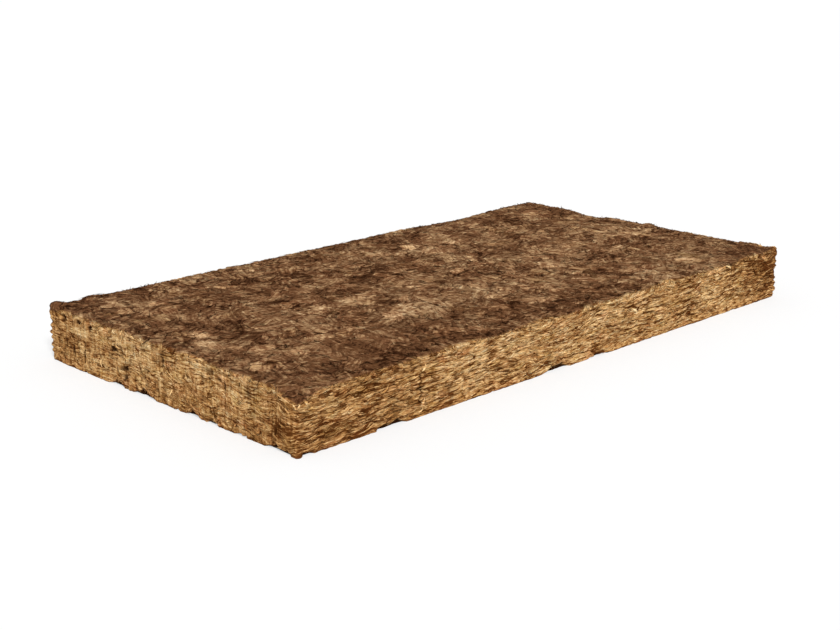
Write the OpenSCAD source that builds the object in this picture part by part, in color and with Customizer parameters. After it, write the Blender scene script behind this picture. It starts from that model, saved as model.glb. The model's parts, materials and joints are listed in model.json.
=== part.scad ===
// Glass wool insulation panel: one slab of bonded glass fibre, sawn to size and lying flat.
// The origin is the centre of the resting face. +X runs along the length, +Y across the
// width and +Z up through the thickness. The slab is one solid, because it is one felt.

/* [Panel] */
// Length of the slab, along X
panel_length = 1200; // [600:10:2400]
// Width of the slab, along Y
panel_width = 600; // [300:10:1200]
// Thickness of the slab, along Z
panel_thickness = 90; // [60:1:200]

/* [Edges] */
// Radius of the four top edges, where handling has softened the felt
top_edge_r = 7; // [2:0.5:20]
// Radius of the four bottom edges, which the slab's weight keeps sharper
bottom_edge_r = 4; // [1:0.5:15]
// Radius of the upright corners that the saw left nearly square
sawn_corner_r = 5; // [1:0.5:25]
// Radius of the one upright corner that has been crushed, at -X and -Y
crushed_corner_r = 14; // [1:0.5:60]

/* [Hidden] */
// How far the cutting shapes reach past the faces that they cut
overcut = 1;
// Facets to a full circle
$fn = 96;

// What is cut away to round a square corner at the origin, whose sides run along +X and +Y
module corner_waste(r) {
    difference() {
        translate([-overcut, -overcut]) square(r + overcut);
        translate([r, r]) circle(r);
    }
}

// A size[0] by size[1] rectangle centred across X and standing on Y = 0. Its corners are
// rounded to low_left, low_right, high_left and high_right.
module soft_rectangle(size, low_left, low_right, high_left, high_right) {
    half = size[0] / 2;
    difference() {
        translate([-half, 0]) square(size);
        translate([-half, 0]) corner_waste(low_left);
        translate([half, 0]) mirror([1, 0]) corner_waste(low_right);
        translate([-half, size[1]]) mirror([0, 1]) corner_waste(high_left);
        translate([half, size[1]]) mirror([1, 0]) mirror([0, 1]) corner_waste(high_right);
    }
}

// The slab's outline from above, drawn up through its thickness
module plan_prism() {
    translate([0, -panel_width / 2])
        linear_extrude(panel_thickness)
            soft_rectangle([panel_length, panel_width],
                crushed_corner_r, sawn_corner_r, sawn_corner_r, sawn_corner_r);
}

// The slab's upright section, span wide, drawn run long on both sides of Y = 0
module section_prism(span, run) {
    rotate([90, 0, 0])
        linear_extrude(run, center = true)
            soft_rectangle([span, panel_thickness],
                bottom_edge_r, bottom_edge_r, top_edge_r, top_edge_r);
}

// The whole slab: what its outline and its two upright sections have in common
module wool_panel() {
    color("#8f6b45")
        intersection() {
            plan_prism();
            section_prism(panel_length, panel_width);
            rotate([0, 0, 90]) section_prism(panel_width, panel_length);
        }
}

wool_panel();
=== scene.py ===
"""The looks of one glass wool insulation panel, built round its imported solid.

The panel is a felt of bonded glass fibre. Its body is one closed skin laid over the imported
solid: pressed faces above and below, and four sawn sides, where the layers of the felt stand
out like thatch. Licks and flakes of fibre lie on that skin along its grain, and a few tufts
and pale locks stand off it.
"""

import json
import logging
import math
from dataclasses import dataclass, replace
from enum import Enum
from random import Random

import bpy
import numpy as np
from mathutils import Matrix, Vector

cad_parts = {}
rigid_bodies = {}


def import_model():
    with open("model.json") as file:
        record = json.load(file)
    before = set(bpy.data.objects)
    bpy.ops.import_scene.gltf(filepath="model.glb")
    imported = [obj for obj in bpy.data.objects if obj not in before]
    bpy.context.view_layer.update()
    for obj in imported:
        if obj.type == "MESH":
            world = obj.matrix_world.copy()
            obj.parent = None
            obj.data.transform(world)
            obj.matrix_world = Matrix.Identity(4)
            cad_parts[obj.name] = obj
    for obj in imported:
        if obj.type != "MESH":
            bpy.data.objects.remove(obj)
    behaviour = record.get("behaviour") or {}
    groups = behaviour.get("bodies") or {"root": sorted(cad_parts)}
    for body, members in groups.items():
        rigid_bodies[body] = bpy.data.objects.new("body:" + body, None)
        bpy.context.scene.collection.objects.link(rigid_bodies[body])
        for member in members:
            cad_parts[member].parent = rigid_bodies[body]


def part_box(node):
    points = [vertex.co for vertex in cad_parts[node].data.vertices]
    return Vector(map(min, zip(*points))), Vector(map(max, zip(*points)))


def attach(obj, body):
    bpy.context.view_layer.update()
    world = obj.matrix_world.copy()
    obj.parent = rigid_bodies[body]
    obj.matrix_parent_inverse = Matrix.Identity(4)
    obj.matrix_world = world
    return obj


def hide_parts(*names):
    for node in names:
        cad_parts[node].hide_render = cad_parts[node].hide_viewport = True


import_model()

Tree = bpy.types.NodeTree
Socket = bpy.types.NodeSocket
Object = bpy.types.Object
Triple = tuple[float, float, float]
Faces = list[tuple[int, ...]]
Array = np.ndarray

LOG = logging.getLogger("glass_wool_panel")
MM = 0.001
SOLID = "wool_panel"
BODY = "root"
WHITE = "#ffffff"
MATH = "ShaderNodeMath"
VECTOR_MATH = "ShaderNodeVectorMath"
MAP_RANGE = "ShaderNodeMapRange"


class Surface(Enum):
    """The surfaces of the slab that carry licks of their own, by the attribute that marks each."""

    TOP = "on_top"
    BORDER = "on_border"
    UNDERSIDE = "on_underside"
    FRONT = "on_front"
    BACK = "on_back"
    LEFT = "on_left"
    RIGHT = "on_right"
    RIM = "on_rim"


def linear(colour: str) -> tuple[float, float, float, float]:
    """Turns an sRGB hex colour such as #a0774b into linear red, green, blue and alpha."""
    parts = [int(colour[i : i + 2], 16) / 255 for i in (1, 3, 5)]
    return (*[p / 12.92 if p <= 0.04045 else ((p + 0.055) / 1.055) ** 2.4 for p in parts], 1.0)


def socket_of(sockets: bpy.types.bpy_prop_collection, key: str | int) -> Socket:
    """Finds a socket by its place, its identifier or its name.

    Args:
        sockets: A node's inputs or outputs.
        key: The socket's index, identifier or name.

    Returns:
        The socket that matches.
    """
    if isinstance(key, int):
        return sockets[key]
    for socket in sockets:
        if socket.identifier == key:
            return socket
    return sockets[key]


def add(tree: Tree, kind: str, inputs: dict[str | int, object] | None = None, out: str | int = 0,
        **settings: object) -> Socket | None:
    """Adds one node with its settings and links.

    Args:
        tree: The node tree to add to.
        kind: The node's type name.
        inputs: Input name, identifier or index, to an output socket to link or a plain value.
        out: Index, identifier or name of the output that is wanted.
        settings: The node's own properties. stops gives a colour ramp its (place, hex) pairs.

    Returns:
        That output of the new node, if it has any.
    """
    node = tree.nodes.new(kind)
    for name, value in settings.items():
        if name != "stops":
            setattr(node, name, value)
            continue
        elements = node.color_ramp.elements
        while len(elements) < len(value):
            elements.new(1.0)
        for element, (place, colour) in zip(elements, value):
            element.position = place
            element.color = linear(colour)
    for key, value in (inputs or {}).items():
        socket = socket_of(node.inputs, key)
        if isinstance(value, Socket):
            tree.links.new(value, socket)
        else:
            socket.default_value = value
    return socket_of(node.outputs, out) if node.outputs else None


def weighed(tree: Tree, *terms: tuple[Socket | float, Socket | float], start: float = 0.0) -> Socket | float:
    """Adds up values, each times its weight, which may be a value too.

    Args:
        tree: The node tree to add to.
        terms: Each value with its weight.
        start: What is added to them.

    Returns:
        The sum.
    """
    result = start
    for value, weight in terms:
        result = add(tree, MATH, {0: value, 1: weight, 2: result}, operation="MULTIPLY_ADD")
    return result


def cleared(block: bpy.types.Material | bpy.types.World) -> Tree:
    """Empties the node tree of a material or a world.

    Args:
        block: The material or world.

    Returns:
        Its tree, without nodes.
    """
    block.use_nodes = True
    block.node_tree.nodes.clear()
    return block.node_tree


def shown(name: str, data: bpy.types.ID) -> Object:
    """Puts a mesh, a lamp or a camera into the scene.

    Args:
        name: The object's name.
        data: What it shows.

    Returns:
        The object.
    """
    piece = bpy.data.objects.new(name, data)
    bpy.context.scene.collection.objects.link(piece)
    return piece


def new_mesh(name: str, points: list | Array, faces: Faces, rounded: bool = True) -> bpy.types.Mesh:
    """Makes a mesh.

    Args:
        name: The mesh's name.
        points: Its points.
        faces: Its faces, as the numbers of their points.
        rounded: Whether it is shaded as one round surface.

    Returns:
        The mesh.
    """
    mesh = bpy.data.meshes.new(name)
    mesh.from_pydata(points, [], faces)
    mesh.polygons.foreach_set("use_smooth", np.full(len(mesh.polygons), rounded))
    return mesh


def mark(mesh: bpy.types.Mesh, name: str, values: Array) -> None:
    """Stores an attribute that the finish or the licks read.

    Args:
        mesh: The mesh that carries it.
        name: The attribute's name.
        values: One number, or one row of three, for each point.
    """
    kind, part = ("FLOAT", "value") if values.ndim == 1 else ("FLOAT_VECTOR", "vector")
    mesh.attributes.new(name, kind, "POINT").data.foreach_set(part, values.astype(np.float32).ravel())


def smooth(low: float, high: float, value: Array) -> Array:
    """Rises smoothly from 0 at low to 1 at high, or falls if low is the greater."""
    share = np.clip((value - low) / (high - low), 0.0, 1.0)
    return share * share * (3.0 - 2.0 * share)


@dataclass(frozen=True)
class FeltNoise:
    """Smooth, repeatable noise for the relief of the felt, from about -1 to 1.

    The size of its lumps is in millimetres, the same every way or one for each axis.
    """

    seed: int
    size: Triple | float

    def _slopes(self, cells: Array) -> Array:
        """Gives each lattice cell its own random slope.

        Args:
            cells: Whole-number places of the cells, one row each.

        Returns:
            One slope of three parts for each cell.
        """
        whole, ten_bits = 0xFFFFFFFF, 1023
        mixed = (cells.astype(np.int64) * np.array([73856093, 19349663, 83492791])).sum(1)
        mixed = (mixed + self.seed * 2654435761) & whole
        for shift in (15, 13, 16):
            mixed = ((mixed ^ (mixed >> shift)) * 0x2C1B3C6D) & whole
        parts = [(mixed >> shift) & ten_bits for shift in (0, 10, 20)]
        return np.stack(parts, 1) / (ten_bits / 2) - 1.0

    def _read(self, points: Array) -> Array:
        """Reads the noise on its own lattice, which is one unit wide.

        Args:
            points: Places to read, one row each.

        Returns:
            One value for each place.
        """
        base = np.floor(points)
        inner = points - base
        fade = inner**3 * (inner * (inner * 6 - 15) + 10)
        value = np.zeros(len(points))
        for corner in np.ndindex(2, 2, 2):
            offset = np.array(corner)
            weight = np.where(offset == 1, fade, 1 - fade).prod(1)
            value += weight * (self._slopes(base + offset) * (inner - offset)).sum(1)
        return value * 1.7

    def at(self, p: Array) -> Array:
        """Reads the noise at places in millimetres, one row each."""
        return self._read(p / self.size)

    def layered(self, p: Array, octaves: int = 3, gain: float = 0.5) -> Array:
        """Adds finer and finer copies of the noise to itself.

        Args:
            p: Places to read, one row each.
            octaves: How many copies, each twice as fine as the last.
            gain: Strength of each copy beside the last.

        Returns:
            One value for each place, still from about -1 to 1.
        """
        parts = [gain**i * self._read(p / self.size * 2**i + 17.3 * i) for i in range(octaves)]
        return sum(parts) / sum(gain**i for i in range(octaves))

    def ridges(self, p: Array, octaves: int = 2) -> Array:
        """Round crests parted by narrow creases.

        Args:
            p: Places to read, one row each.
            octaves: How many copies, each twice as fine as the last.

        Returns:
            One value for each place, from 0 in a crease to about 1 on a crest.
        """
        gains = [0.5**i for i in range(octaves)]
        parts = [gain * np.abs(self._read(p / self.size * 2**i + 31.7 * i)) ** 0.7
                 for i, gain in enumerate(gains)]
        return sum(parts) / sum(gains) * 1.5

    def lines(self, p: Array, wide: float) -> Array:
        """Thin winding lines, 1 in the middle of each and 0 beside it."""
        return smooth(wide, 0.0, np.abs(self.at(p)))


@dataclass(frozen=True)
class Spot:
    """One place on the slab that differs from its surroundings, in millimetres from the low corner."""

    middle: Triple
    reach: Triple
    strength: float

    def at(self, p: Array) -> Array:
        """The spot's strength at each place, which fades to nothing at its reach."""
        off = (p - self.middle) / self.reach
        return self.strength * np.clip(1.0 - (off**2).sum(1), 0.0, 1.0) ** 1.5

    def wider(self, times: float) -> "Spot":
        """The same spot, so many times as wide along X."""
        return replace(self, reach=(self.reach[0] * times, *self.reach[1:]))


def total(spots: tuple[Spot, ...], p: Array) -> Array:
    """The strength of several spots together at each place."""
    return sum((spot.at(p) for spot in spots), np.zeros(len(p)))


@dataclass(frozen=True)
class Felt:
    """How the felt's own structure shapes its surfaces. Lengths are in millimetres."""

    side_depth: float = 3.0
    end_depth: float = 2.5
    pressed_depth: float = 2.6
    gap_width: float = 0.16
    crease_width: float = 0.035
    tufted_corner: tuple[float, float] = (190.0, 90.0)

    # The layers of the felt rise and fall in waves, which are steeper where it is tufted.
    slow_waves: FeltNoise = FeltNoise(11, (120, 120, 60))
    quick_waves: FeltNoise = FeltNoise(12, (34, 34, 20))
    tufting: FeltNoise = FeltNoise(26, (95, 95, 70))

    # A sawn side shows them as thatch, a sawn end as short broken rows under upright saw marks.
    layers: FeltNoise = FeltNoise(13, (75, 1, 5.2))
    plies: FeltNoise = FeltNoise(14, (24, 1, 3.3))
    long_gaps: FeltNoise = FeltNoise(23, (110, 1, 11))
    short_gaps: FeltNoise = FeltNoise(24, (38, 1, 6))
    side_sway: FeltNoise = FeltNoise(15, (150, 150, 60))
    end_rise: FeltNoise = FeltNoise(16, (20, 20, 15))
    end_drift: FeltNoise = FeltNoise(17, (16, 16, 12))
    end_layers: FeltNoise = FeltNoise(18, (1, 48, 9))
    end_gaps: FeltNoise = FeltNoise(25, (46, 1, 11))
    end_sway: FeltNoise = FeltNoise(15, (90, 90, 50))
    saw_marks: FeltNoise = FeltNoise(19, (1, 9, 60))
    pits: FeltNoise = FeltNoise(20, (13, 15, 10))
    pit_drift: FeltNoise = FeltNoise(24, 24)

    # A pressed face is lapped flakes, crumpled into folds.
    crumpling: tuple[FeltNoise, FeltNoise] = (FeltNoise(16, 30), FeltNoise(17, 30))
    laps: FeltNoise = FeltNoise(20, (34, 27.2, 60))
    folds: FeltNoise = FeltNoise(22, (15, 15, 40))
    lumps: FeltNoise = FeltNoise(21, 80)
    creases: FeltNoise = FeltNoise(25, (190, 120, 200))

    # The fibres of an end are combed upright in places, and those of a face swirl.
    combing: FeltNoise = FeltNoise(17, (26, 26, 44))
    swirls: FeltNoise = FeltNoise(21, 120)
    eddies: FeltNoise = FeltNoise(22, 40)

    def wavy(self, p: Array) -> Array:
        """Bends the level layers into waves.

        Args:
            p: Places on the slab, one row each.

        Returns:
            The height of the layer at each place.
        """
        tufted = smooth(0.0, 0.5, self.tufting.at(p))
        tufted = np.maximum(tufted, smooth(*self.tufted_corner, np.hypot(p[:, 0], p[:, 1])))
        return p[:, 2] + 7.0 * self.slow_waves.at(p) + (1.4 + 4.2 * tufted) * self.quick_waves.at(p)

    def side(self, p: Array) -> Array:
        """Relief of a long sawn side: long layers like thatch, with thinner plies on them.

        Args:
            p: Places on the slab, one row each.

        Returns:
            How far the felt stands out at each place.
        """
        run = np.stack([p[:, 0] + 0.6 * p[:, 1], np.zeros(len(p)), self.wavy(p)], 1)
        gaps = 0.6 * self.long_gaps.lines(run, self.gap_width)
        gaps = gaps + 0.7 * self.short_gaps.lines(run, self.gap_width)
        thatch = 0.5 * self.layers.ridges(run) + 0.5 * self.plies.ridges(run) - 0.6 - 0.55 * gaps
        return self.side_depth * thatch + 2.0 * self.side_sway.layered(p)

    def end(self, p: Array) -> Array:
        """Relief of a sawn end: short broken layers and pits, under the upright marks of the saw.

        Args:
            p: Places on the slab, one row each.

        Returns:
            How far the felt stands out at each place.
        """
        none = np.zeros(len(p))
        level = self.wavy(p) + 4.0 * self.end_rise.at(p)
        across = p[:, 1] + 6.0 * self.end_drift.at(p)
        layers = self.end_layers.ridges(np.stack([none, across, level], 1), 3)
        gaps = self.end_gaps.lines(np.stack([across, none, level], 1), self.gap_width)
        pits = smooth(0.36, 0.62, self.pits.layered(p + 9.0 * self.pit_drift.at(p)[:, None], 2))
        rows = self.end_depth * (0.9 * layers - 0.62 - 0.45 * gaps - 0.7 * pits)
        return rows + 0.7 * self.saw_marks.at(p * (0, 1, 1)) + 2.2 * self.end_sway.layered(p)

    def pressed(self, p: Array) -> Array:
        """Relief of a pressed face: lapped flakes of fibre, crumpled into small folds.

        Args:
            p: Places on the slab, one row each.

        Returns:
            How far the felt stands out at each place.
        """
        moved = p.copy()
        moved[:, :2] += 9.0 * np.stack([noise.at(p) for noise in self.crumpling], 1)
        crumple = 0.6 * self.laps.ridges(moved) + 0.8 * self.folds.ridges(moved) - 0.9
        crumple = crumple - 0.5 * self.creases.lines(moved, self.crease_width)
        return self.pressed_depth * crumple + 1.2 * self.lumps.layered(p, 2)

    def slope(self, p: Array, axis: int) -> Array:
        """How fast the wavy layers climb along one axis.

        Args:
            p: Places on the slab, one row each.
            axis: 0 for X or 1 for Y.

        Returns:
            The slope at each place.
        """
        reach, steepest = 3.0, 0.9
        along, up = reach * np.eye(3)[[axis, 2]]
        rise = self.wavy(p + up) - self.wavy(p - up)
        climb = self.wavy(p - along) - self.wavy(p + along)
        return np.clip(climb / np.maximum(rise, 0.5 * reach), -steepest, steepest)

    def lay(self, p: Array, out: Array) -> Array:
        """The way the fibres run at each place on the surface.

        Args:
            p: Places on the slab, one row each.
            out: The outward direction at each place.

        Returns:
            One direction for each place.
        """
        none = np.zeros(len(p))
        combed = self.slope(p, 1) + 0.45 * math.pi * smooth(0.1, 0.4, self.combing.at(p))
        turn = 3.4 * self.swirls.at(p) + 1.6 * self.eddies.at(p)
        ways = (np.stack([none, np.cos(combed), np.sin(combed)], 1),
                np.stack([none + 1.0, none, self.slope(p, 0)], 1),
                np.stack([np.cos(turn), np.sin(turn), none], 1))
        return sum(way * out[:, [axis]] ** 2 for axis, way in enumerate(ways))


@dataclass(frozen=True)
class Weave:
    """Patterns of fibre, made of nodes in one tree. Places are in metres and sizes in millimetres."""

    tree: Tree

    def times(self, place: Socket, size: Triple) -> Socket:
        """Measures a place in lumps of a pattern, which have a size of their own along each axis.

        Args:
            place: Where the pattern is read.
            size: The lumps' length along X, Y and Z.

        Returns:
            The place, counted in lumps.
        """
        per_metre = tuple(1.0 / (length * MM) for length in size)
        return add(self.tree, VECTOR_MATH, {0: place, 1: per_metre}, operation="MULTIPLY")

    def lumps(self, place: Socket, size: Triple, detail: float, rough: float = 0.6,
              out: str = "Fac") -> Socket:
        """Soft noise.

        Args:
            place: Where the noise is read.
            size: The lumps' length along X, Y and Z.
            detail: How many finer copies it holds.
            rough: How strong the finer copies are.
            out: Which output is wanted.

        Returns:
            The noise, from 0 to 1.
        """
        inputs = {"Vector": self.times(place, size), "Scale": 1.0, "Detail": detail, "Roughness": rough}
        return add(self.tree, "ShaderNodeTexNoise", inputs, out)

    def wandering(self, place: Socket, size: float, reach: Triple) -> Socket:
        """Moves the places that a pattern is read at, so that the pattern wanders.

        Args:
            place: Where the pattern is read.
            size: Size of the waves.
            reach: How far they move it along each axis.

        Returns:
            The moved places.
        """
        noise = self.lumps(place, (size,) * 3, 2.0, 0.5, "Color")
        middle = add(self.tree, VECTOR_MATH, {0: noise, 1: (0.5, 0.5, 0.5)}, operation="SUBTRACT")
        far = tuple(2.0 * length * MM for length in reach)
        return add(self.tree, VECTOR_MATH, {0: middle, 1: far, 2: place}, operation="MULTIPLY_ADD")

    def bundles(self, place: Socket, size: Triple) -> tuple[Socket, Socket, Socket]:
        """Bundles or flakes of fibre side by side, each of tones of its own, with a hollow between them.

        Args:
            place: Where the pattern is read.
            size: A bundle's length along X, Y and Z.

        Returns:
            Two tones of each bundle, from 0 to 1, and how near the hollow is, from 0 to about 1.
        """
        inputs = {"Vector": self.times(place, size), "Scale": 1.0}
        hollow = add(self.tree, "ShaderNodeTexVoronoi", inputs, "Distance")
        own = add(self.tree, "ShaderNodeSeparateColor", {0: hollow.node.outputs["Color"]}).node.outputs
        return own[0], own[1], hollow

    def flakes(self, place: Socket, flake: float, length: float,
               width: float) -> tuple[Socket, Socket, Socket]:
        """Flakes of the mat, each with bundles that run their own way.

        Args:
            place: Where the pattern is read.
            flake: Size of the flakes.
            length: Length of the bundles.
            width: Width of the bundles.

        Returns:
            The tone of each flake and of each bundle, and how near the hollow beside it is.
        """
        moved = self.wandering(place, flake * 0.5, (flake * 0.5, flake * 0.5, 0.0))
        way, tone, _ = self.bundles(moved, (flake,) * 3)
        bent = self.wandering(place, length, (width, width, 0.0))
        angle = weighed(self.tree, (way, 2 * math.pi))
        turned = add(self.tree, "ShaderNodeVectorRotate", {"Vector": bent, "Angle": angle},
                     rotation_type="Z_AXIS")
        bundle, _, hollow = self.bundles(turned, (length, width, width * 3))
        return tone, bundle, hollow

    def seams(self, place: Socket, size: Triple, wide: float) -> Socket:
        """Long thin seams that wander between the layers.

        Args:
            place: Where the pattern is read.
            size: How far apart seams lie along X, Y and Z.
            wide: How wide a seam is beside the distance between seams.

        Returns:
            1 in a seam and 0 beside it.
        """
        off = weighed(self.tree, (self.lumps(place, size, 2.0, 0.5), 1.0), start=-0.5)
        away = add(self.tree, MATH, {0: off}, operation="ABSOLUTE")
        return add(self.tree, MAP_RANGE, {"Value": away, "From Max": wide, "To Min": 1.0, "To Max": 0.0},
                   interpolation_type="SMOOTHSTEP")

    def streaks(self, tint: Socket) -> list[Socket]:
        """Fine streaks along each lick and flake, and the tone of its own that each one has.

        Args:
            tint: A value that differs from lick to lick.

        Returns:
            The streaks and the tone, both about zero on average, and zero on the skin below.
        """
        strand = add(self.tree, "ShaderNodeAttribute", out="Vector", attribute_name="strand")
        loose = add(self.tree, "ShaderNodeSeparateXYZ", {0: strand}, "Z")
        apart = add(self.tree, VECTOR_MATH, {0: (61.0, 37.0, 0.0), "Scale": tint}, operation="SCALE")
        there = add(self.tree, VECTOR_MATH, {0: strand, 1: (2.6, 15.0, 0.0), 2: apart},
                    operation="MULTIPLY_ADD")
        noise = add(self.tree, "ShaderNodeTexNoise", {"Vector": there, "Scale": 1.0, "Detail": 2.0})
        even = [weighed(self.tree, (value, 1.0), start=-0.5) for value in (noise, tint)]
        return [weighed(self.tree, (value, loose)) for value in even]


@dataclass(frozen=True)
class GlassWoolFinish:
    """Unfaced glass wool, spun, bound with a brown cured binder, pressed and sawn to size.

    The pressed faces are a dark brown crust of matted flakes, each with its own grain. The saw
    opens lighter, golden layers, with gaps between them that are painted dark as shade.
    light, so it is matt, with no gloss. A single fibre is far too fine to show, so the pattern
    is drawn as coarse as it needs to be, in bundles of fibre whose sizes are in millimetres.
    """

    name: str = "bonded_glass_wool"
    crust: tuple[str, ...] = ("#3d2313", "#744f34", "#ab8761", "#dfbf95")
    crust_span: tuple[float, float] = (0.14, 0.92)
    opened: tuple[str, ...] = ("#5c3517", "#b1814d", "#dab27b", "#f3d5a4")
    opened_span: tuple[float, float] = (0.20, 0.80)
    steps: tuple[float, ...] = (0.0, 0.36, 0.66, 1.0)
    # The gap colour stands for painted shade, mixed into crevices, hollows and the hollow under the torn
    # foot.
    gap: str = "#271207"
    blush: str = "#e3b3a4"
    straw: str = "#dacf90"
    roughness: float = 0.92
    relief_mm: float = 4.0

    # Pressed faces: flakes, the bundles in them, tufts, fleece, specks and cracks.
    flake_mm: Triple = (78.0, 80.0, 9.0)
    tuft_mm: Triple = (32.0, 34.0, 4.5)
    fleece_mm: float = 34.0
    speck_mm: float = 6.0
    long_cracks_mm: Triple = (96.0, 62.0, 200.0)
    short_cracks_mm: Triple = (42.0, 30.0, 200.0)
    cracked_mm: Triple = (48.0, 48.0, 200.0)

    # Sawn faces: layers, the strands and fibre in them, seams between them and marks of the saw.
    layer_mm: Triple = (56.0, 44.0, 3.8)
    strand_mm: Triple = (28.0, 24.0, 2.6)
    fibre_mm: Triple = (11.0, 10.0, 1.5)
    blotch_mm: Triple = (40.0, 24.0, 18.0)
    long_seams_mm: Triple = (130.0, 90.0, 10.0)
    short_seams_mm: Triple = (44.0, 36.0, 6.0)
    saw_marks_mm: Triple = (20.0, 4.2, 34.0)
    hue_mm: Triple = (34.0, 34.0, 15.0)

    def _ramp(self, tree: Tree, tone: Socket, span: tuple[float, float], colours: tuple[str, ...]) -> Socket:
        """Colours a tone.

        Args:
            tree: The material's tree.
            tone: The tone.
            span: The tones that take the first and the last colour.
            colours: The colours from dark to light.

        Returns:
            The colour.
        """
        share = weighed(tree, (tone, 1.0 / (span[1] - span[0])), start=-span[0] / (span[1] - span[0]))
        return add(tree, "ShaderNodeValToRGB", {0: share}, "Color", stops=tuple(zip(self.steps, colours)))

    def _pressed(self, weave: Weave, read: dict[str, Socket]) -> tuple[Socket, Socket]:
        """The pressed face: flakes and the bundles in them, each of its own tone, with painted light on their
        crests and painted shade in the gaps and crevices between them.

        Args:
            weave: The patterns.
            read: What the mesh carries, and the patterns that both faces share.

        Returns:
            Its colour, and its height for the bump.
        """
        tree, here = weave.tree, read["here"]
        flake_tone, coarse, coarse_gap = weave.flakes(here, *self.flake_mm)
        tuft_tone, fine, fine_gap = weave.flakes(here, *self.tuft_mm)
        fleece = weave.lumps(weave.wandering(here, 24.0, (10.0, 10.0, 0.0)), (self.fleece_mm,) * 3, 4.0)
        pulled = weave.wandering(here, 50.0, (20.0, 20.0, 0.0))
        shaded_cracks = weighed(tree, (weave.seams(pulled, self.long_cracks_mm, 0.024), 1.0),
                         (weave.seams(pulled, self.short_cracks_mm, 0.036), 0.8))
        where = {"Value": weave.lumps(here, self.cracked_mm, 2.0), "From Min": 0.42, "From Max": 0.56}
        shaded_cracks = weighed(tree, (shaded_cracks, add(tree, MAP_RANGE, where, interpolation_type="SMOOTHSTEP")))
        # Painted light and shade: crests of the relief are lighter, and the gaps between flakes and bundles,
        # the crevices and low relief darker.
        tone = weighed(tree, (flake_tone, 0.14), (coarse, 0.14), (coarse_gap, -0.12), (tuft_tone, 0.14),
                       (fine, 0.20), (fine_gap, -0.26), (fleece, 0.10), (read["speck"], 0.54),
                       (shaded_cracks, -0.18), (read["own"], 0.15), (read["relief"], 0.22),
                       (read["streaks"], 0.46), (read["tone"], 1.0), start=-0.61)
        height = weighed(tree, (coarse, 0.25), (coarse_gap, -0.45), (fine, 0.2), (fine_gap, -0.35),
                         (read["speck"], 0.4), (read["streaks"], 0.5), (shaded_cracks, -0.6))
        return self._ramp(tree, tone, self.crust_span, self.crust), height

    def _sawn(self, weave: Weave, read: dict[str, Socket]) -> tuple[Socket, Socket]:
        """Sawn sides: long wavy layers of bundles. Sawn ends: shorter ones, and marks of the saw.

        Args:
            weave: The patterns.
            read: What the mesh carries, and the patterns that both faces share.

        Returns:
            Its colour, and its height for the bump.
        """
        tree, place = weave.tree, read["grain"]
        layers = weave.lumps(place, self.layer_mm, 4.0, 0.62)
        frayed = weave.wandering(place, 9.0, (3.0, 3.0, 0.8))
        strand, _, strand_gap = weave.bundles(frayed, self.strand_mm)
        fibre, _, fibre_gap = weave.bundles(frayed, self.fibre_mm)
        blotch = weave.lumps(place, self.blotch_mm, 3.0)
        seams = weighed(tree, (weave.seams(place, self.long_seams_mm, 0.024), 1.0),
                        (weave.seams(frayed, self.short_seams_mm, 0.03), 0.7))
        sawing = weave.wandering(read["here"], 34.0, (0.0, 4.0, 0.0))
        striped = weighed(tree, (weave.lumps(sawing, self.saw_marks_mm, 3.0, 0.58), read["end"]))
        # Painted shade and light: gaps between strands and fibres and the seams are darker, and the relief
        # mark makes crests lighter and hollows darker.
        woven = weighed(tree, (strand, 0.11), (strand_gap, -0.15), (fibre, 0.25), (fibre_gap, -0.32),
                        (seams, -0.34))
        woven = weighed(tree, (woven, weighed(tree, (read["end"], -0.30), start=1.0)))
        tone = weighed(tree, (layers, 0.21), (woven, 1.1), (blotch, 0.16), (striped, 0.56),
                       (read["end"], -0.26), (read["relief"], 0.22), (read["speck"], 0.28),
                       (read["tone"], 1.0), start=-0.405)
        height = weighed(tree, (layers, 0.5), (strand, 0.25), (strand_gap, -0.45), (fibre_gap, -0.3),
                         (read["speck"], 0.3), (striped, 0.7))
        return self._ramp(tree, tone, self.opened_span, self.opened), height

    def make(self) -> bpy.types.Material:
        """Builds the material.

        Returns:
            The material, which reads the attributes that the slab and its licks carry.
        """
        material = bpy.data.materials.new(self.name)
        tree = cleared(material)
        weave = Weave(tree)
        read = {name: add(tree, "ShaderNodeAttribute", out="Fac", attribute_name=name)
                for name in ("sawn", "end", "relief", "tone", "tint", "hollow")}
        read["grain"] = add(tree, "ShaderNodeAttribute", out="Vector", attribute_name="grain")
        read["here"] = add(tree, "ShaderNodeTexCoord", out="Object")
        read["speck"] = weave.lumps(read["here"], (self.speck_mm,) * 3, 3.0, 0.65)
        read["streaks"], read["own"] = weave.streaks(read["tint"])
        crust, height = self._pressed(weave, read)
        opened, cut_height = self._sawn(weave, read)

        # The binder's hue drifts from reddish to straw across the slab.
        hue = weave.lumps(read["grain"], self.hue_mm, 3.0)
        drift = weighed(tree, (read["sawn"], 0.28), start=0.32)
        tinged = [add(tree, MAP_RANGE, {"Value": hue, "From Min": 0.5, "From Max": most},
                      interpolation_type="SMOOTHSTEP") for most in (0.78, 0.22)]
        blushed, strawed = [weighed(tree, (share, drift)) for share in tinged]
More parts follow.
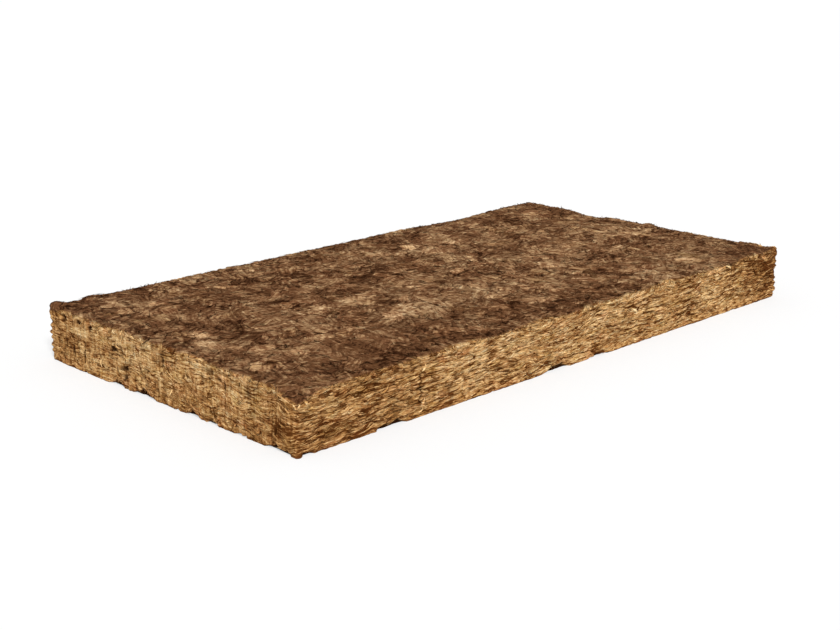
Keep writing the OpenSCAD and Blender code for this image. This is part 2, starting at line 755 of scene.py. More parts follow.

        # Each lick is a shade lighter or darker at random, with painted shade darkening its foot, and gaps
        # are painted dark as shadow.
        lift = add(tree, MATH, {0: read["tint"], 1: 1.4}, operation="POWER")
        shade = weighed(tree, (lift, 0.80), (read["hollow"], -0.30), start=0.70)
        grey = add(tree, "ShaderNodeCombineColor", {0: shade, 1: shade, 2: shade})
        # Painted shade: the lower the relief mark, the more the colour turns to the gap colour.
        depth = add(tree, MAP_RANGE, {"Value": read["relief"], "From Min": 0.02, "From Max": 0.44,
                                      "To Min": 0.92, "To Max": 0.0}, interpolation_type="SMOOTHSTEP")
        colour = crust
        for share, other, blend in ((read["sawn"], opened, "MIX"), (blushed, linear(self.blush), "MULTIPLY"),
                                    (strawed, linear(self.straw), "MULTIPLY"), (1.0, grey, "MULTIPLY"),
                                    (depth, linear(self.gap), "MIX")):
            colour = add(tree, "ShaderNodeMix", {"Factor_Float": share, "A_Color": colour, "B_Color": other},
                         "Result_Color", data_type="RGBA", blend_type=blend)
        relief = add(tree, "ShaderNodeMix", {"Factor_Float": read["sawn"], "A_Float": height,
                                             "B_Float": cut_height}, "Result_Float", data_type="FLOAT")
        bump = add(tree, "ShaderNodeBump", {"Height": relief, "Strength": 1.0,
                                            "Distance": self.relief_mm * MM})
        shader = add(tree, "ShaderNodeBsdfPrincipled", {"Base Color": colour, "Roughness": self.roughness,
                                                        "Specular IOR Level": 0.0, "Normal": bump})
        add(tree, "ShaderNodeOutputMaterial", {"Surface": shader})
        return material


class Skin:
    """The points of the slab's skin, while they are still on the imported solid's box."""

    def __init__(self, p: Array) -> None:
        """Works out how far each point is from the edges.

        Args:
            p: The points, in millimetres from the low corner.
        """
        self.p = p
        self.size = p.max(0)
        self.gap_x, self.gap_y = np.minimum(p, self.size - p)[:, :2].T
        self.gap = np.minimum(self.gap_x, self.gap_y)
        self.from_upright = np.hypot(self.gap_x, self.gap_y)
        self.from_crushed = np.hypot(p[:, 0], p[:, 1])
        self.from_curled = np.hypot(p[:, 0], self.size[1] - p[:, 1])
        self.from_drawn = np.hypot(self.size[0] - p[:, 0], p[:, 1])
        self.below_top = self.size[2] - p[:, 2]

    def face(self, out: Array) -> None:
        """Notes which way each point faces, and so how much it belongs to each face.

        Args:
            out: The outward direction at each point.
        """
        self.out = out
        self.end, self.side, flat = (out**2).T
        self.up, self.down = flat * (out[:, 2] > 0), flat * (out[:, 2] < 0)


@dataclass
class Slab:
    """The closed skin of the slab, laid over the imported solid's box.

    The box's corners are in metres, and every other length is in millimetres.
    """

    low: Vector
    high: Vector
    felt: Felt = Felt()
    step: Triple = (4.7, 2.2, 1.87)
    edge_lines: tuple[float, ...] = (0.0, 1.4, 3.0, 5.0, 7.6)
    crease_reach: float = 12.0
    top_stride: tuple[int, int] = (1, 2)
    foot_stride: tuple[int, int] = (3, 6)
    top_arris: float = 6.0
    foot_arris: float = 4.0
    sawn_corner: float = 4.0
    crushed_corner: float = 17.0
    crushed_arris: float = 5.0
    crush_reach: float = 46.0
    crush_dip: float = 7.0
    curl_reach: float = 34.0
    curl_rise: float = 5.5
    curl_out: float = 3.5
    spur_out: float = 2.0
    peak_rise: float = 5.0
    loft: float = 1.6
    nibble: float = 5.0
    tear: float = 6.0
    under_reach: float = 24.0
    foot_sink: float = 4.2
    sink_reach: float = 18.0
    foot_shade: float = 0.09

    ragged: FeltNoise = FeltNoise(71, 16)
    meander: FeltNoise = FeltNoise(61, (80, 80, 16))
    layer_ends: FeltNoise = FeltNoise(67, (60, 60, 10.5))
    nibbling: FeltNoise = FeltNoise(83, (17, 17, 60))
    tearing: FeltNoise = FeltNoise(85, (13, 13, 60))
    crust_edge: FeltNoise = FeltNoise(91, 90)
    crust_tatters: FeltNoise = FeltNoise(93, 15)
    clouds: FeltNoise = FeltNoise(97, 110)

    # Upright creases in the front, and strokes of the saw and pits in the end.
    creases: tuple[Spot, ...] = (Spot((240, 0, 44), (2.9, 14, 44), 6.5), Spot((329, 0, 47), (4, 12, 37), 1.6))
    cuts: tuple[Spot, ...] = (
        Spot((0, 298, 50), (14, 3.4, 42), 0.9), Spot((0, 203, 48), (14, 3.4, 40), 1.1),
        Spot((0, 152, 60), (14, 3.6, 34), 1.6), Spot((0, 101, 56), (14, 3.4, 36), 1.0),
        Spot((0, 520, 79), (14, 9.5, 6.5), 4.2), Spot((0, 488, 77), (14, 8, 7), 3.8),
        Spot((0, 560, 76), (14, 9, 12), 4.2), Spot((0, 536, 30), (14, 5, 14), 2.6),
        Spot((0, 505, 28), (14, 5, 17), 3.0), Spot((0, 425, 58), (14, 9, 6.5), 3.0))

    # Places where the foot is torn out, and where the top's edge swells or sags.
    bites: tuple[Spot, ...] = (
        Spot((552, 0, 0), (40, 60, 60), 12), Spot((165, 0, 0), (22, 60, 60), 9),
        Spot((192, 0, 0), (24, 60, 60), 10), Spot((660, 0, 0), (36, 60, 60), 6),
        Spot((0, 418, 0), (60, 28, 60), 9), Spot((0, 346, 0), (60, 36, 60), 11),
        Spot((0, 228, 0), (60, 24, 60), 9), Spot((0, 180, 0), (60, 20, 60), 8),
        Spot((0, 118, 0), (60, 20, 60), 6), Spot((0, 44, 0), (30, 30, 60), 9),
        Spot((0, 18, 0), (12, 12, 60), 6), Spot((19, 0, 0), (16, 16, 60), 8))
    swells: tuple[Spot, ...] = (
        Spot((960, 600, 90), (120, 110, 90), -4.5), Spot((1200, 430, 90), (110, 60, 90), -4.5),
        Spot((1200, 286, 90), (24, 15, 60), 4.0), Spot((1200, 50, 90), (40, 28, 60), 3.0),
        Spot((76, 600, 90), (24, 34, 60), 4.0))
    clean_edge: Spot = Spot((170, 0, 90), (85, 60, 200), 1.0)

    # Paler and darker areas of the crust, and of the sawn faces.
    crust_tones: tuple[Spot, ...] = (
        Spot((290, 70, 90), (330, 110, 200), -0.11), Spot((930, 130, 90), (330, 130, 200), 0.09),
        Spot((415, 175, 90), (75, 75, 200), 0.12), Spot((250, 180, 90), (70, 70, 200), -0.06),
        Spot((60, 420, 90), (90, 90, 200), 0.05), Spot((850, 235, 90), (70, 60, 200), -0.05),
        Spot((260, 570, 90), (70, 50, 200), 0.07), Spot((600, 180, 90), (150, 90, 200), 0.13),
        Spot((165, 370, 90), (110, 60, 200), 0.08), Spot((310, 450, 90), (130, 80, 200), -0.11),
        Spot((520, 370, 90), (100, 60, 200), -0.15), Spot((850, 450, 90), (100, 90, 200), 0.08),
        Spot((1060, 350, 90), (150, 110, 200), 0.12), Spot((1130, 50, 90), (150, 80, 200), -0.14),
        Spot((700, 40, 90), (150, 60, 200), -0.08), Spot((40, 40, 90), (110, 90, 200), -0.12),
        Spot((50, 550, 90), (110, 70, 200), -0.08), Spot((8, 592, 90), (45, 45, 45), -0.16))
    sawn_tones: tuple[Spot, ...] = (
        Spot((600, 0, 60), (430, 90, 120), 0.06), Spot((550, 0, 50), (60, 60, 120), 0.05),
        Spot((255, 0, 24), (60, 60, 44), -0.05), Spot((110, 0, 15), (170, 90, 46), -0.05),
        Spot((930, 0, 50), (120, 90, 120), 0.05), Spot((1170, 0, 50), (110, 90, 120), -0.07),
        Spot((1190, 0, 66), (36, 60, 60), -0.14), Spot((0, 590, 50), (90, 110, 120), -0.09),
        Spot((0, 20, 45), (60, 110, 120), -0.09), Spot((0, 250, 84), (90, 240, 38), 0.08),
        Spot((0, 180, 12), (90, 280, 44), -0.05), Spot((0, 520, 65), (90, 42, 10), 0.17),
        Spot((54, 0, 22), (18, 40, 13), -0.15), Spot((0, 24, 36), (40, 34, 13), -0.22))

    def _stations(self, length: float, step: float, fine: tuple[float, ...] = ()) -> Array:
        """Places of the grid lines along one axis.

        Args:
            length: The box's length along the axis.
            step: The usual distance between lines.
            fine: Places near which the lines lie three times as close.

        Returns:
            The lines' places, which are closer together towards both ends too.
        """
        near = np.array(self.edge_lines)
        places = [near[-1] + step]
        while places[-1] < length - near[-1] - 1.5 * step:
            close = any(abs(places[-1] - spot) < self.crease_reach for spot in fine)
            places.append(places[-1] + (step / 3 if close else step))
        return np.concatenate([near, places, length - near[::-1]])

    def _grid(self) -> tuple[Array, Faces]:
        """Lays a grid over the six faces of the box, coarser on its top and underside.

        Returns:
            The grid's points, measured from the low corner, and its faces, wound outwards.
        """
        size = [(h - l) / MM for l, h in zip(self.low, self.high)]
        fine = tuple(crease.middle[0] for crease in self.creases)
        lines = [self._stations(s, step, spots) for s, step, spots in zip(size, self.step, (fine, (), ()))]
        nx, ny, nz = (len(line) - 1 for line in lines)
        number: dict[tuple[int, ...], int] = {}

        def face(*corners: tuple[int, int, int]) -> tuple[int, ...]:
            """The numbers of the points at those places in the grid, each made when first used."""
            return tuple(number.setdefault(corner, len(number)) for corner in corners)

        faces = []
        for k in range(nz):
            for i in range(nx):
                faces.append(face((i, 0, k), (i + 1, 0, k), (i + 1, 0, k + 1), (i, 0, k + 1)))
                faces.append(face((i, ny, k + 1), (i + 1, ny, k + 1), (i + 1, ny, k), (i, ny, k)))
            for j in range(ny):
                faces.append(face((0, j, k + 1), (0, j + 1, k + 1), (0, j + 1, k), (0, j, k)))
                faces.append(face((nx, j, k), (nx, j + 1, k), (nx, j + 1, k + 1), (nx, j, k + 1)))
        for level, stride in ((nz, self.top_stride), (0, self.foot_stride)):
            columns = sorted({*range(0, nx, stride[0]), nx})
            rows = sorted({*range(0, ny, stride[1]), ny})
            for i, i_next in zip(columns, columns[1:]):
                for j, j_next in zip(rows, rows[1:]):
                    ring = [(i, b) for b in (range(j, j_next) if i == 0 else (j,))]
                    ring += [(a, j_next) for a in (range(i, i_next) if j_next == ny else (i,))]
                    ring += [(i_next, b) for b in (range(j_next, j, -1) if i_next == nx else (j_next,))]
                    ring += [(a, j) for a in (range(i_next, i, -1) if j == 0 else (i_next,))]
                    corners = face(*[(a, b, level) for a, b in ring])
                    faces.append(corners[::-1] if level else corners)
        places = np.array(list(number))
        return np.stack([lines[axis][places[:, axis]] for axis in range(3)], 1), faces

    def _rounding(self, skin: Skin) -> Array:
        """The radius that the edges have near each point.

        Args:
            skin: The points.

        Returns:
            One radius for each point.
        """
        never_none = 1e-6
        by_top = smooth(26.0, 8.0, skin.below_top) + never_none
        by_foot = smooth(26.0, 8.0, skin.p[:, 2]) + never_none
        by_corner = smooth(30.0, 6.0, skin.from_upright) + never_none
        ragged = self.ragged.layered(skin.p, 2)
        top = self.top_arris * (1.0 + 0.5 * ragged) * (1.0 - 0.75 * smooth(60.0, 15.0, skin.from_drawn))
        foot = self.foot_arris * (1.0 + 0.6 * ragged)
        crushed = smooth(60.0, 10.0, skin.from_crushed)
        rounder = crushed * smooth(0.0, 45.0, skin.p[:, 2])
        corner = self.sawn_corner + (self.crushed_corner - self.sawn_corner) * rounder
        radius = (by_top * top + by_foot * foot + by_corner * corner) / (by_top + by_foot + by_corner)
        return radius + self.crushed_arris * crushed * by_top

    def _relief(self, skin: Skin) -> tuple[Array, Array]:
        """Raises the felt's layers, folds, creases and pits.

        Args:
            skin: The points.

        Returns:
            How far each point stands out, and how it lies beside its surroundings, from about -1 to 1.
        """
        p, felt = skin.p, self.felt
        sideways, endways, flat = felt.side(p), felt.end(p), felt.pressed(p)

        # Creases across the layers and strokes of the saw wander a little on their way up.
        wander = 9.0 * self.meander.layered(p, 3, 0.6)[:, None] * (1, 1, 0)
        crease, cut = total(self.creases, p + wander), total(self.cuts, p + 0.2 * wander)
        relief = skin.side * (sideways - crease) + skin.end * (endways - cut)
        relief = relief + (skin.up + 0.3 * skin.down) * flat
        depth = skin.side * (0.9 * sideways - 0.6 * crease) / felt.side_depth
        depth = depth + skin.end * 0.88 * (endways - cut) / felt.end_depth

        # The ends of the layers stand out one by one along the upright corners.
        by_corner = smooth(11.0, 0.0, skin.from_upright) * (skin.side + skin.end)
        stand = by_corner * (1.0 - 0.6 * smooth(60.0, 10.0, skin.from_crushed))
        stand = stand * (8.0 * np.abs(self.layer_ends.at(p)) - 2.0)
        return relief + self.loft + stand, depth + (skin.up + skin.down) * flat / felt.pressed_depth

    def _undercut(self, skin: Skin, shaped: Array) -> Array:
        """Nibbles the foot away, and tears it out in places, where the sides overhang a hollow that is
        painted dark as shade.

        Args:
            skin: The points.
            shaped: Where they lie so far. They are moved.

        Returns:
            How deep in such a hollow each point is, from 0 to 1, and so how much painted shade darkens it.
        """
        p = skin.p
        nibbled = np.clip(1.8 * self.nibbling.layered(p, 2) - 0.1, 0.0, 1.0) * smooth(22.0, 0.0, p[:, 2])
        nibbled = nibbled * smooth(self.under_reach, 0.0, skin.gap)
        bite = np.maximum(total(self.bites, p * (1, 1, 0)) * (1.0 + 0.4 * self.tearing.at(p)), 0.0)
        hollow = smooth(1.0, 0.75, p[:, 2] / np.maximum(bite, 0.01)) * (p[:, 2] < 20.0)
        inwards = smooth(self.under_reach, 0.0, p) - smooth(self.under_reach, 0.0, skin.size - p)
        shaped[:, 2] -= self.foot_sink * smooth(self.sink_reach, 0.0, p[:, 2])
        shaped[:, 2] += self.nibble * (1.0 + 0.5 * skin.end) * nibbled
        shaped[:, :2] += inwards[:, :2] * (self.tear * smooth(0.0, 5.0, bite) * hollow)[:, None]
        return hollow * np.clip(bite / 2.0, 0.0, 1.0)

    def _bent(self, skin: Skin, shaped: Array) -> Array:
        """Crushes one corner down, curls its neighbour along the sawn end up, and draws one out.

        Args:
            skin: The points.
            shaped: Where they lie so far. They are moved.

        Returns:
            How much each point is curled, from 0 to 1.
        """
        high, top = skin.p[:, 2], skin.size[2]
        dip = smooth(self.crush_reach, 0.0, skin.from_crushed) * smooth(0.0, top, high) * self.crush_dip
        curled = smooth(self.curl_reach, 8.0, skin.from_curled) * smooth(top - 22.0, top - 4.0, high)
        spur = smooth(15.0, 0.0, skin.from_crushed) * smooth(16.0, 0.0, high)
        drawn = smooth(30.0, 4.0, skin.from_drawn) * smooth(top - 20.0, top, high)
        swell = total(self.swells, skin.p) * smooth(top - 30.0, top, high)
        shaped += skin.out * (1, 1, 0) * (self.curl_out * curled + self.spur_out * spur)[:, None]
        shaped[:, 2] += self.curl_rise * curled + self.peak_rise * drawn + swell - dip
        shaped[:, 2] = np.maximum(shaped[:, 2], 0.0)
        return curled

    def _marks(self, skin: Skin, depth: Array, under: Array, curled: Array) -> dict[str, Array]:
        """What the finish and the licks read at each point.

        Args:
            skin: The points.
            depth: How each lies beside its surroundings, from about -1 to 1.
            under: How deep each is in a hollow under the foot, from 0 to 1, where it is painted dark as
                shade.
            curled: How much each is curled, from 0 to 1.

        Returns:
            The attributes by name.
        """
        p, top = skin.p, skin.size[2]

        # The crust of the pressed top ends in a ragged line, a little over the edge or short of it.
        rough = 16.0 * self.crust_edge.layered(p, 2) + 6.0 * self.crust_tatters.layered(p, 2)
        rough = np.where(rough > 0.0, 0.5, 0.9) * rough * (1.0 - 0.85 * self.clean_edge.at(p))
        rolled = curled * smooth(top - 14.0, top - 5.0, p[:, 2])
        past = skin.gap - skin.below_top + rough + 1.5 + 7.0 * smooth(70.0, 12.0, skin.from_crushed)
        over = smooth(6.0, 0.0, past + 30.0 * rolled)
        sawn = over * (1.0 - skin.down)

        # Licks grow on the crests of the sawn faces, away from creases, hollows, corners and foot.
        crest = smooth(0.30, 0.55, np.clip(0.62 + 0.5 * depth, 0.0, 1.0)) * smooth(8.0, 16.0, p[:, 2])
        near_crease = total(tuple(crease.wider(2.0) for crease in self.creases), p)
        crest *= smooth(1.0, 0.2, near_crease) * (1.0 - under)
        clear_x, clear_y = skin.end * crest * smooth(12.0, 24.0, skin.gap_y), skin.side * crest
        crusted, inner = over < 0.05, skin.gap > 11.0
        tone = 0.5 + total(self.crust_tones, p) * (1.0 - sawn) + total(self.sawn_tones, p) * sawn
        shade = self.foot_shade * smooth(9.5, 5.0, p[:, 2]) * (1.0 - skin.down)
        grain_height = np.where(skin.up > 0.5, p[:, 2], self.felt.wavy(p))
        # The relief mark paints shade: low places, crevices and the hollows under the foot come out darker,
        # crests lighter.
        marks = {
            "sawn": sawn,
            "end": skin.end,
            "relief": np.clip(0.62 + 0.5 * depth - 0.7 * under, 0.0, 1.0),
            "tone": tone + 0.10 * self.clouds.layered(p, 2) - shade,
            "tint": np.full(len(p), 0.5),
            "grain": np.stack([p[:, 0], p[:, 1], grain_height], 1) * MM,
            "out": skin.out,
            "lay": self.felt.lay(p, skin.out),
        }
        surfaces = {
            Surface.TOP: skin.up * smooth(34.0, 60.0, skin.gap) * crusted,
            Surface.BORDER: skin.up * smooth(62.0, 38.0, skin.gap) * inner * crusted,
            Surface.UNDERSIDE: skin.down * (skin.gap > 26.0),
            Surface.FRONT: clear_y * (skin.out[:, 1] < 0) * smooth(6.0, 20.0, skin.gap_x),
            Surface.BACK: clear_y * (skin.out[:, 1] > 0) * smooth(10.0, 24.0, skin.gap_x),
            Surface.LEFT: clear_x * (skin.out[:, 0] < 0),
            Surface.RIGHT: clear_x * (skin.out[:, 0] > 0),
            Surface.RIM: over * smooth(top - 9.0, top - 3.0, p[:, 2]) * smooth(5.0, 15.0, skin.from_upright),
        }
        return marks | {surface.value: where for surface, where in surfaces.items()}

    def make(self, finish: bpy.types.Material) -> Object:
        """Builds the skin.

        Args:
            finish: The material that it takes.

        Returns:
            The slab, with its attributes on it.
        """
        points, faces = self._grid()
        skin = Skin(points)
        radius = self._rounding(skin)[:, None]
        core = np.clip(points, radius, skin.size - radius)
        out = points - core
        skin.face(out / np.linalg.norm(out, axis=1)[:, None])
        relief, depth = self._relief(skin)
        shaped = core + radius * skin.out + relief[:, None] * skin.out * (1, 1, 0.6)
        under = self._undercut(skin, shaped)
        curled = self._bent(skin, shaped)
        mesh = new_mesh("wool_slab", shaped * MM + np.array(self.low), faces)
        for name, values in self._marks(skin, depth, under, curled).items():
            mark(mesh, name, values)
        mesh.materials.append(finish)
        return shown("wool_slab", mesh)


def loose_shape(name: str, points: list[Triple], faces: Faces, hollow: list[float], rounded: bool) -> Object:
    """Makes the shape of one lick or flake, for the tree to lay again and again.

    Args:
        name: The name it gets.
        points: Its points, about one unit long, wide and high.
        faces: Its faces, as the numbers of their points.
        hollow: How deep each point lies, from 0 to 1, and so how much painted shade darkens it.
        rounded: Whether it is shaded as one round surface.

    Returns:
        The shape, which is not in the scene.
    """
    mesh = new_mesh(name, points, faces, rounded)
    mark(mesh, "hollow", np.array(hollow))
    mark(mesh, "strand", np.array([(x, y, 1.0) for x, y, _ in points]))
    return bpy.data.objects.new(name, mesh)


@dataclass(frozen=True)
class Lick:
    """One lick of fibres, flat, bowed and pointed at both ends, drawn one unit long, wide and high."""

    sweep: float
    bow: float
    rings: int = 3

    def make(self, name: str) -> Object:
        """Builds the lick as a closed three-sided blade.

        Args:
            name: The name it gets.

        Returns:
            The lick, which is not yet in the scene.
        """
        points, faces = [], []
        for ring in range(self.rings):
            share = (ring + 1) / (self.rings + 1)
            bulge = math.sin(math.pi * share)
            half, middle, rise = 0.5 * bulge**0.7, self.sweep * bulge, self.bow * bulge - 0.4
            points += [(share - 0.5, middle - half, rise), (share - 0.5, middle + half, rise),
                       (share - 0.5, middle + 0.15 * half, rise + half)]
        first, last = len(points), len(points) + 1
        points += [(-0.5, 0.0, -0.6), (0.5, 0.0, -0.6)]
        for side in range(3):
            after = (side + 1) % 3
            faces.append((first, side, after))
            for here in range(0, 3 * self.rings - 3, 3):
                faces.append((here + side, here + 3 + side, here + 3 + after, here + after))
            faces.append((last, 3 * self.rings - 3 + after, 3 * self.rings - 3 + side))
        return loose_shape(name, points, faces, [1.0, 1.0, 0.0] * self.rings + [0.5, 0.5], True)


@dataclass(frozen=True)
class Flake:
    """One flat flake of matted fibre with a ragged rim, drawn about one unit long, wide and high."""

    seed: int
    corners: int = 9

    def make(self, name: str) -> Object:
        """Builds the flake as a closed shell with a steep rim.

        Args:
            name: The name it gets.

        Returns:
            The flake, which is not yet in the scene.
        """
        chance = Random(self.seed)
        count = self.corners
        turns = [2 * math.pi * (i + chance.uniform(-0.3, 0.3)) / count for i in range(count)]
        reaches = [chance.uniform(0.34, 0.5) for _ in turns]
        rim = [(reach * math.cos(t), reach * math.sin(t)) for t, reach in zip(turns, reaches)]
        points = [(x, y, -0.6) for x, y in rim]
        points += [(0.9 * x, 0.9 * y, chance.uniform(0.1, 0.4)) for x, y in rim]
        points += [(0.0, 0.0, -0.6), (0.0, 0.0, 0.6)]
        faces = []
        for here in range(count):
            after = (here + 1) % count
            faces.append((2 * count, after, here))
            faces.append((here, after, count + after, count + here))
            faces.append((count + here, count + after, 2 * count + 1))
        return loose_shape(name, points, faces, [1.0] * count + [0.0] * count + [1.0, 0.0], False)


class LickTree:
    """The Geometry Nodes tree that lays licks along the grain of the slab's skin."""

    CHOICES = {"Geometry": "Geometry", "Where": "String", "Seed": "Int", "Shapes": "Collection",
               "Last shape": "Int"}
    LENGTHS = ("Shortest", "Longest", "Narrowest", "Widest", "Lowest", "Highest", "Wander", "Wander size")
    NUMBERS = ("Density", *LENGTHS, "Fan", "Darkest", "Lightest")

    def __init__(self, finish: bpy.types.Material) -> None:
        """Builds the tree.

        Args:
            finish: The material that the licks take.
        """
        self.tree = tree = bpy.data.node_groups.new("lay_licks", "GeometryNodeTree")
        tree.interface.new_socket("Geometry", in_out="OUTPUT", socket_type="NodeSocketGeometry")
        for name, kind in (self.CHOICES | dict.fromkeys(self.NUMBERS, "Float")).items():
            tree.interface.new_socket(name, in_out="INPUT", socket_type="NodeSocket" + kind)
        self.given = given = add(tree, "NodeGroupInput").node.outputs
        size = {name: weighed(tree, (given[name], MM)) for name in self.LENGTHS}

        where = add(tree, "GeometryNodeInputNamedAttribute", {"Name": given["Where"]}, data_type="FLOAT")
        density = weighed(tree, (where, given["Density"]))
        spots = add(tree, "GeometryNodeDistributePointsOnFaces",
                    {"Mesh": given["Geometry"], "Density": density, "Seed": given["Seed"]})
        tint = self._random("FLOAT", 5, given["Darkest"], given["Lightest"])
        marked = add(tree, "GeometryNodeStoreNamedAttribute",
                     {"Geometry": spots, "Name": "tint", "Value": tint}, data_type="FLOAT", domain="POINT")

        out, lay = [add(tree, "GeometryNodeInputNamedAttribute", {"Name": name}, data_type="FLOAT_VECTOR")
                    for name in ("out", "lay")]
        along = add(tree, "FunctionNodeAxesToRotation", {0: out, 1: lay},
                    primary_axis="Z", secondary_axis="X")
        fan = add(tree, MATH, {0: given["Fan"]}, operation="RADIANS")
        spin = self._random("FLOAT", 1, weighed(tree, (fan, -1.0)), fan)
        turn = add(tree, "FunctionNodeAxisAngleToRotation", {"Axis": (0.0, 0.0, 1.0), "Angle": spin})
        turned = add(tree, "FunctionNodeRotateRotation", {0: along, 1: turn}, rotation_space="LOCAL")
        scale = add(tree, "ShaderNodeCombineXYZ", {
            0: self._random("FLOAT", 2, size["Shortest"], size["Longest"]),
            1: self._random("FLOAT", 3, size["Narrowest"], size["Widest"]),
            2: self._random("FLOAT", 4, size["Lowest"], size["Highest"])})

        licks = add(tree, "GeometryNodeCollectionInfo",
                    {"Collection": given["Shapes"], "Separate Children": True, "Reset Children": True})
        which = self._random("INT", 6, 0, given["Last shape"])
        laid = add(tree, "GeometryNodeInstanceOnPoints",
                   {"Points": marked, "Instance": licks, "Pick Instance": True, "Instance Index": which,
                    "Rotation": turned, "Scale": scale})
        real = add(tree, "GeometryNodeRealizeInstances", {0: laid})

        # The laid licks are bent by soft noise, as far to one side as to the other.
        place = add(tree, "GeometryNodeInputPosition")
        close = add(tree, MATH, {0: 1.0, 1: size["Wander size"]}, operation="DIVIDE")
        noise = add(tree, "ShaderNodeTexNoise", {"Vector": place, "Scale": close, "Detail": 1.0}, "Color")
        middle = add(tree, VECTOR_MATH, {0: noise, 1: (0.5, 0.5, 0.5)}, operation="SUBTRACT")
        far = weighed(tree, (size["Wander"], 4.0))
        moved = add(tree, VECTOR_MATH, {0: middle, "Scale": far}, operation="SCALE")
        bent = add(tree, "GeometryNodeSetPosition", {"Geometry": real, "Offset": moved})
        dressed = add(tree, "GeometryNodeSetMaterial", {"Geometry": bent, "Material": finish})
        add(tree, "NodeGroupOutput", {0: dressed})

    def _random(self, kind: str, offset: int, low: Socket | int, high: Socket) -> Socket:
        """A random value for each point.

        Args:
            kind: FLOAT or INT.
            offset: What is added to the seed, so that the value is one of its own.
            low: The least value.
            high: The greatest.

        Returns:
            The value.
        """
        own = weighed(self.tree, (self.given["Seed"], 1.0), start=float(offset))
        end = {"FLOAT": "_001", "INT": "_002"}[kind]
        return add(self.tree, "FunctionNodeRandomValue", {"Min" + end: low, "Max" + end: high, "Seed": own},
                   "Value" + end, data_type=kind)

    def lay(self, slab: Object, name: str, settings: dict) -> Object:
        """Lays licks over one surface of the slab.

        Args:
            slab: The skin that they lie on.
            name: The piece's name.
            settings: The tree's inputs by name.

        Returns:
            One plain mesh of all the licks.
        """
        carrier = shown(name + "_carrier", slab.data)
        modifier = carrier.modifiers.new("licks", "NODES")
        modifier.node_group = self.tree
        for item in self.tree.interface.items_tree:
            if item.in_out == "INPUT" and item.name in settings:
                modifier[item.identifier] = settings[item.name]
        mesh = bpy.data.meshes.new_from_object(carrier.evaluated_get(bpy.context.evaluated_depsgraph_get()))
        carrier.modifiers.remove(modifier)
        bpy.data.objects.remove(carrier)
        for unused in (*[surface.value for surface in Surface], "out", "lay"):
            if unused in mesh.attributes:
                mesh.attributes.remove(mesh.attributes[unused])
        places = np.empty(len(mesh.vertices) * 3, np.float32)
        mesh.vertices.foreach_get("co", places)
        places[2::3] = np.maximum(places[2::3], 0.0)
        mesh.vertices.foreach_set("co", places)
        mesh.name = name
        return shown(name, mesh)


@dataclass(frozen=True)
class Patch:
    """Licks or flakes over one surface. Density is per square metre, sizes are least and most, in mm."""

    name: str
    surface: Surface
    shapes: tuple[Lick | Flake, ...]
    seed: int
    density: float
    length: tuple[float, float]
    width: tuple[float, float]
    height: tuple[float, float]
    fan: float
    wander: float = 0.5
    tint: tuple[float, float] = (0.0, 1.0)
    wander_size: float = 12.0

    def settings(self, shapes: bpy.types.Collection) -> dict[str, float | int | str | bpy.types.Collection]:
        """The inputs of the tree that lays the licks.

        Args:
            shapes: The shapes, built.

        Returns:
            The inputs by name.
        """
        lengths = (*self.length, *self.width, *self.height, self.wander, self.wander_size)
        numbers = (self.density, *lengths, self.fan, *self.tint)
        return {"Where": self.surface.value, "Seed": self.seed, "Shapes": shapes,
                "Last shape": len(self.shapes) - 1, **dict(zip(LickTree.NUMBERS, numbers))}


LICKS = (Lick(0.0, 0.7), Lick(0.6, 1.0), Lick(-0.7, 0.6), Lick(1.3, 1.1), Lick(-1.2, 0.8))
FLAKES = (Flake(1), Flake(2), Flake(3), Flake(4), Flake(5))


